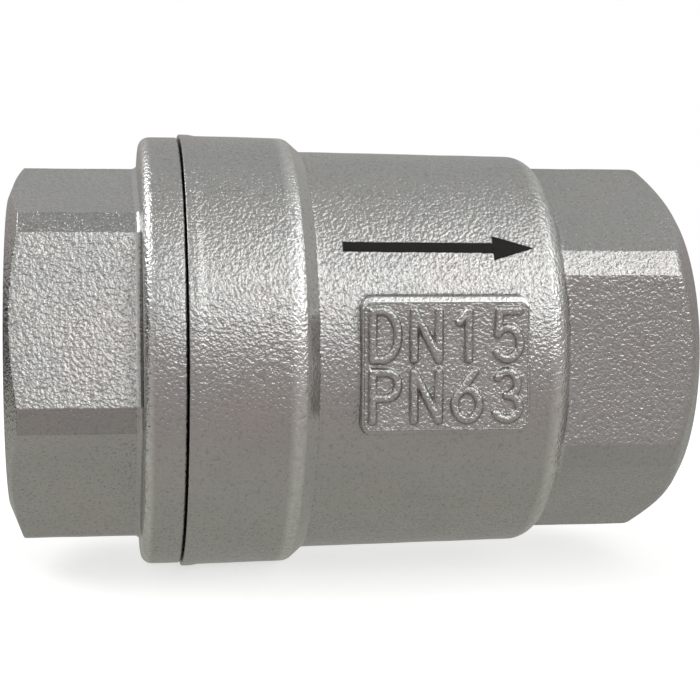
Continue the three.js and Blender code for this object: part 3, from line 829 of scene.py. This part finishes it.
def guide_bush():
    """A flanged sleeve for the stem."""
    inner, outer, flange = 2.08, 2.9, 4.3
    corners = [
        (8.1, inner, 0.15), (8.1, flange, 0.25), (9.4, flange, 0.08), (9.4, outer, 0.05),
        (13.5, outer, 0.2), (13.5, inner, 0.2),
    ]
    return lathe("guide_bush_sleeve", corners, PTFE)


def body_gasket():
    corners = ring_corners(PARTING_X + 0.05, PARTING_X + 1.05, 13.75, 14.9, 0.15)
    return lathe("body_gasket_ring", corners, PTFE, 160)


def stem():
    """The stem, with a machine thread on its front end and a groove for its clip at the back."""
    pitch, depth, flank, thread_end = 0.7, 0.36, 0.42, -6.9
    collar_r, groove_r, centre = 3.3, 1.5, 0.02
    corners = [
        (-9.9, centre, 0), (-9.9, STEM_R, 0.3),
        (0.9, STEM_R, 0.05), (0.9, collar_r, 0.15), (3.5, collar_r, 0.25), (3.5, STEM_R, 0.05),
        (13.85, STEM_R, 0.04), (13.85, groove_r, 0.04), (14.55, groove_r, 0.04), (14.55, STEM_R, 0.04),
        (15.3, STEM_R, 0.25), (15.3, centre, 0),
    ]
    angles = round_angles(72)
    rows = section(corners, len(angles), 4, lambda m: 0.06 if m[0] < -6.5 and m[1] > 1.6 else ROW_GAP)
    x, r = rows[..., 0], rows[..., 1]
    phase = np.mod(x / pitch - angles[None, :] / (2 * math.pi), 1)
    runout = np.clip((thread_end - x) / pitch, 0, 1)
    groove = depth * np.clip(1 - np.abs(phase - 0.5) / flank, 0, 1) * runout
    rows[..., 1] = np.where(r > STEM_R - 0.6, r - groove, r)
    return closed_piece("stem_rod", swept(rows, angles), [TURNED])


def retainer_nut():
    """A hexagon nut, chamfered at both ends."""
    angles, hex_r = hexagon(7.0, 0.12, 0.05, 0, 0.3)
    x0, x1, face_r, bore, bevel = NUT_X, NUT_X + 2.4, 3.35, STEM_HOLE_R, 0.4
    chamfer = (hex_r - face_r) * math.tan(math.radians(30))
    corners = [
        (x0 + bevel, bore, 0.05), (x0, bore + bevel, 0.08), (x0, face_r, 0.12),
        (x0 + chamfer, hex_r, 0.05), (x1 - chamfer, hex_r, 0.05),
        (x1, face_r, 0.12), (x1, bore + bevel, 0.08), (x1 - bevel, bore, 0.05),
    ]
    return closed_piece("clamp_nut", swept(section(corners, len(angles), 3), angles), [TURNED])


def refined(name, node, material):
    """A flat punched piece with broken edges, made from a copy of its CAD solid."""
    obj = bpy.data.objects.new(name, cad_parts[node].data.copy())
    bpy.context.scene.collection.objects.link(obj)
    obj.data.materials.clear()
    obj.data.materials.append(material)
    weld = obj.modifiers.new("weld", "WELD")
    weld.merge_threshold = 0.002 * MM
    flat = obj.modifiers.new("flat", "DECIMATE")
    flat.decimate_type = "DISSOLVE"
    flat.angle_limit = math.radians(2)
    bevel = obj.modifiers.new("bevel", "BEVEL")
    bevel.width = 0.05 * MM
    bevel.segments = 2
    bevel.limit_method = "ANGLE"
    bevel.angle_limit = math.radians(40)
    bevel.harden_normals = True
    return apply_modifiers(obj)


def guide_spider():
    """Ring, hub and three legs, melted into one casting."""
    hub = [
        (9.5, 3.0, 0.1), (9.5, 6.6, 0.3), (10.5, 6.6, 0.3),
        (11.7, 4.0, 0.5), (13.6, 4.0, 0.25), (13.6, 3.0, 0.1),
    ]
    parts = [
        lathe("ring", ring_corners(9.5, 12.5, 10.8, 12.4, 0.3), CAST, 160),
        lathe("hub", hub, CAST),
    ]
    for k in range(3):
        parts.append(spider_leg(math.radians(120 * k - 30)))
    spider = join("spider_casting", parts)
    remesh = spider.modifiers.new("melt", "REMESH")
    remesh.mode = "VOXEL"
    remesh.voxel_size = 0.16 * MM
    smooth = spider.modifiers.new("smooth", "SMOOTH")
    smooth.factor = 0.5
    smooth.iterations = 4
    return apply_modifiers(spider)


def spider_leg(angle):
    """A leg from hub to ring, thinner towards the outlet."""
    near, far, half = 3.6, 11.4, 1.2
    front, back, thin = 9.6, 12.3, half * 0.75
    outline = [(front, -half), (front, half), (back, thin), (back, -thin)]
    radial = np.array([0, math.cos(angle), math.sin(angle)])
    across = np.array([0, -math.sin(angle), math.cos(angle)])
    points = [np.array([x, 0, 0]) + radial * r + across * c for r in (near, far) for x, c in outline]
    faces = [(0, 1, 2, 3), (7, 6, 5, 4), (0, 4, 5, 1), (1, 5, 6, 2), (2, 6, 7, 3), (3, 7, 4, 0)]
    return outward(new_piece("leg", points, faces, [CAST]))


def spring_coil():
    """The compression spring, its end turns closed and ground flat."""
    wire, radius, turns, closed, closed_pitch = 0.8, 5.5, 5.0, 1.0, 0.88
    start, end, ground = SPRING_BOX[0].x / MM, SPRING_BOX[1].x / MM, 0.02
    sides, steps = 14, 240
    turn = np.linspace(0, turns, steps + 1)
    open_pitch = (end - start - wire - 2 * closed * closed_pitch) / (turns - 2 * closed)
    opened = np.clip(turn - closed, 0, turns - 2 * closed)
    x = start + wire / 2 + closed_pitch * (turn - opened) + open_pitch * opened
    a = 2 * math.pi * turn
    b = round_angles(sides)
    r = radius + wire / 2 * np.cos(b)[None, :]
    along = np.clip(x[:, None] + wire / 2 * np.sin(b)[None, :], start + ground, end - ground)
    points = np.stack([along, r * np.cos(a)[:, None], r * np.sin(a)[:, None]], axis=-1)
    faces = [tuple(f) for f in grid_faces(steps + 1, sides, False, True)]
    faces += [tuple(range(sides)), tuple(range(steps * sides + sides - 1, steps * sides - 1, -1))]
    return outward(new_piece("coil_spring", points.reshape(-1, 3), faces, [SPRING]))


# ------------------------------------------------------------------ stage


def aimed(azimuth, elevation):
    """The way from the valve to a camera or light, and the turn that faces it back to the valve.

    Azimuth 0 is in front, at -Y, and 90 is beyond the outlet.
    """
    a, e = math.radians(azimuth), math.radians(elevation)
    back = Vector((math.sin(a) * math.cos(e), -math.cos(a) * math.cos(e), math.sin(e)))
    return back, back.to_track_quat("Z", "Y").to_matrix()


def set_camera():
    """A long lens a little above the flow axis and towards the inlet end."""
    azimuth, elevation, roll = -8.5, 4.4, -0.25
    distance, half_view = 141.2, 7 / 34  # half_view is the tangent of half the angle of view
    target = Vector((0.90, 0, -0.094)) * MM
    back, turn = aimed(azimuth, elevation)
    data = bpy.data.cameras.new("camera")
    data.sensor_width = 36
    data.lens = data.sensor_width / 2 / half_view
    data.clip_start = 0.01
    camera = bpy.data.objects.new("camera", data)
    turn = turn @ Matrix.Rotation(math.radians(-roll), 3, "Z")
    camera.matrix_world = Matrix.Translation(target + back * distance * MM) @ turn.to_4x4()
    bpy.context.scene.collection.objects.link(camera)
    bpy.context.scene.camera = camera


# what the floor shows to the steel above it: close by, and further out in front
FLOOR_GLOW = (0.362, 0.358, 0.328)
FLOOR_GLOW_FAR = (0.362, 0.322, 0.314)
FLOOR_GLOW_FRONT = (0.36, 0.335, 0.325)
ROOM_GLOW = (0.485, 0.488, 0.478)  # the room above the floor
WALL_GLOW = (0.54, 0.54, 0.54)  # the brightest stretch of the front wall
FLOOR_SEEN = (0.66, 0.66, 0.66)  # what the floor shows straight to the eye


def add_floor(height):
    """A pale round floor that fades into the white surround."""
    columns, reach = 96, 900.0
    angles = round_angles(columns)
    level = np.full(columns, height / MM)
    points = np.stack([reach * np.cos(angles), reach * np.sin(angles), level], axis=-1)
    n = Surface("pale_floor")
    spread = n.add("ShaderNodeVectorMath", operation="LENGTH")
    n.link(n.place, spread.inputs[0])
    seen = n.add("ShaderNodeLightPath").outputs["Is Camera Ray"]
    tone = n.blend(seen, BLACK, (0.6, 0.6, 0.6))
    mottle = n.blend(n.remap(n.noise(0.05, 2), 0.3, 0.7, 0, 0.05), tone, (0.5, 0.5, 0.5))
    n.finish(mottle, Roughness=0.8, Emission_Strength=1)
    y = n.split(n.place)[1]
    glow = n.blend(n.remap(y, -18, -32, 0, 1), FLOOR_GLOW, FLOOR_GLOW_FAR)
    glow = n.blend(n.remap(y, -60, -260, 0, 1), glow, FLOOR_GLOW_FRONT)
    n.link(n.blend(seen, glow, FLOOR_SEEN), n.shader.inputs["Emission Color"])
    n.link(n.remap(spread.outputs["Value"], 160, 700, 1, 0), n.shader.inputs["Alpha"])
    floor = new_piece("floor", points, [tuple(range(columns))], [n.material])
    floor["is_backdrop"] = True


def set_world():
    """White to the eye; to what reflects it a soft grey room whose front wall is lit low down."""
    world = bpy.data.worlds.new("room")
    bpy.context.scene.world = world
    world.use_nodes = True
    n = Nodes(world.node_tree)
    n.tree.nodes.clear()
    place = n.add("ShaderNodeTexCoord").outputs["Generated"]
    height = n.split(place)[2]
    towards_wall = n.add("ShaderNodeVectorMath", operation="DOT_PRODUCT")
    towards_wall.inputs[1].default_value = (0.5, -0.87, 0)
    n.link(place, towards_wall.inputs[0])
    facing = n.remap(towards_wall.outputs["Value"], 0.6, 0.9, 0, 1, True)
    rise = n.remap(height, -0.05, 0.12, 0, 1, True)
    fall = n.remap(height, 0.2, 0.4, 1, 0, True)
    wall = n.math("MULTIPLY", facing, n.math("MULTIPLY", rise, fall))
    room = n.blend(n.remap(height, 0, 0.35, 0, 1), FLOOR_GLOW_FAR, ROOM_GLOW)
    dim, white = n.add("ShaderNodeBackground"), n.add("ShaderNodeBackground")
    n.link(n.blend(wall, room, WALL_GLOW), dim.inputs["Color"])
    white.inputs["Color"].default_value = (1, 1, 1, 1)
    mix = n.add("ShaderNodeMixShader")
    n.link(n.add("ShaderNodeLightPath").outputs["Is Camera Ray"], mix.inputs["Fac"])
    n.link(dim.outputs[0], mix.inputs[1])
    n.link(white.outputs[0], mix.inputs[2])
    n.link(mix.outputs[0], n.add("ShaderNodeOutputWorld").inputs["Surface"])


def add_black_card(name, near, far, low, high):
    """A black card bent round the inlet side from one azimuth to another and between two heights.

    It is only seen as dark lines in the steel's reflections.
    """
    n = Surface(name)
    n.finish(Base_Color=(0.02, 0.02, 0.02, 1), Roughness=1, Specular_IOR_Level=0)
    distance = 150
    angles = np.radians(np.linspace(near, far, 13))
    points = [(distance * math.sin(a), -distance * math.cos(a), z) for z in (low, high) for a in angles]
    card = new_piece(name, points, grid_faces(2, len(angles), False, False), [n.material])
    card.visible_camera = False
    card.visible_diffuse = False
    card.visible_shadow = False
    card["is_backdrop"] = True


def add_softbox(name, azimuth, elevation, width, height, radiance):
    """A soft light that faces the valve, its sizes in metres. radiance is what a mirror would show."""
    distance = 0.6
    data = bpy.data.lights.new(name, "AREA")
    data.shape = "RECTANGLE"
    data.size, data.size_y = width, height
    data.energy = radiance * math.pi * width * height
    light = bpy.data.objects.new(name, data)
    back, turn = aimed(azimuth, elevation)
    light.matrix_world = Matrix.Translation(back * distance) @ turn.to_4x4()
    light.visible_camera = False
    bpy.context.scene.collection.objects.link(light)


# ------------------------------------------------------------------ assembly

set_camera()
set_world()
add_black_card("low_card", -105, -165, -17, 7)
add_black_card("side_card", -70, -105, -17, 38)
# azimuth of each pair of panels, and the radiance of its low and its high one
panels = ((-36, 0.4, 0.3), (-16, 0.7, 0.6), (4, 2.7, 2.0), (24, 3.6, 2.6), (44, 4.4, 3.2), (63, 4.0, 2.8))
for azimuth, low, high in panels:
    add_softbox(f"low_panel_{azimuth}", azimuth, 24, 0.1, 0.1, low)
    add_softbox(f"high_panel_{azimuth}", azimuth, 41, 0.1, 0.1, high)
add_softbox("top_panel", 33, 56, 0.12, 0.09, 3.2)
add_softbox("left_softbox", -95, 47, 0.5, 0.3, 2.4)
add_softbox("right_softbox", 80, 57, 0.22, 0.2, 1.2)

assign(body_casting(), "shell", "body", slot="cast_steel")
assign(cap_casting(), "shell", "end_cap", slot="cast_steel")
assign(flow_arrow(), "shell", slot="cast_steel")
assign(body_gasket(), "shell", "body_gasket", slot="ptfe")
assign(guide_spider(), "shell", "guide_spider", slot="cast_steel")
assign(guide_bush(), "shell", "guide_bush", slot="ptfe")
assign(refined("snap_ring", "retaining_ring", SPRING), "shell", "retaining_ring", slot="spring_steel")
coil = assign(spring_coil(), "shell", "spring", slot="spring_steel")
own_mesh(coil)
assign(spring_washer(), "follower", "spring_washer", slot="turned_steel")
assign(poppet(), "poppet_set", "poppet", slot="turned_steel")
assign(seat_seal(), "poppet_set", "seat_seal", slot="ptfe")
assign(seal_retainer(), "poppet_set", "seal_retainer", slot="turned_steel")
assign(refined("split_washer", "lock_washer", SPRING), "poppet_set", "lock_washer", slot="spring_steel")
assign(retainer_nut(), "poppet_set", "retainer_nut", slot="turned_steel")
assign(stem(), "poppet_set", "stem", slot="turned_steel")
assign(refined("e_clip", "stem_clip", SPRING), "poppet_set", "stem_clip", slot="spring_steel")

look_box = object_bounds()
add_floor(look_box[0].z)
bpy.context.scene.view_settings.view_transform = "Standard"
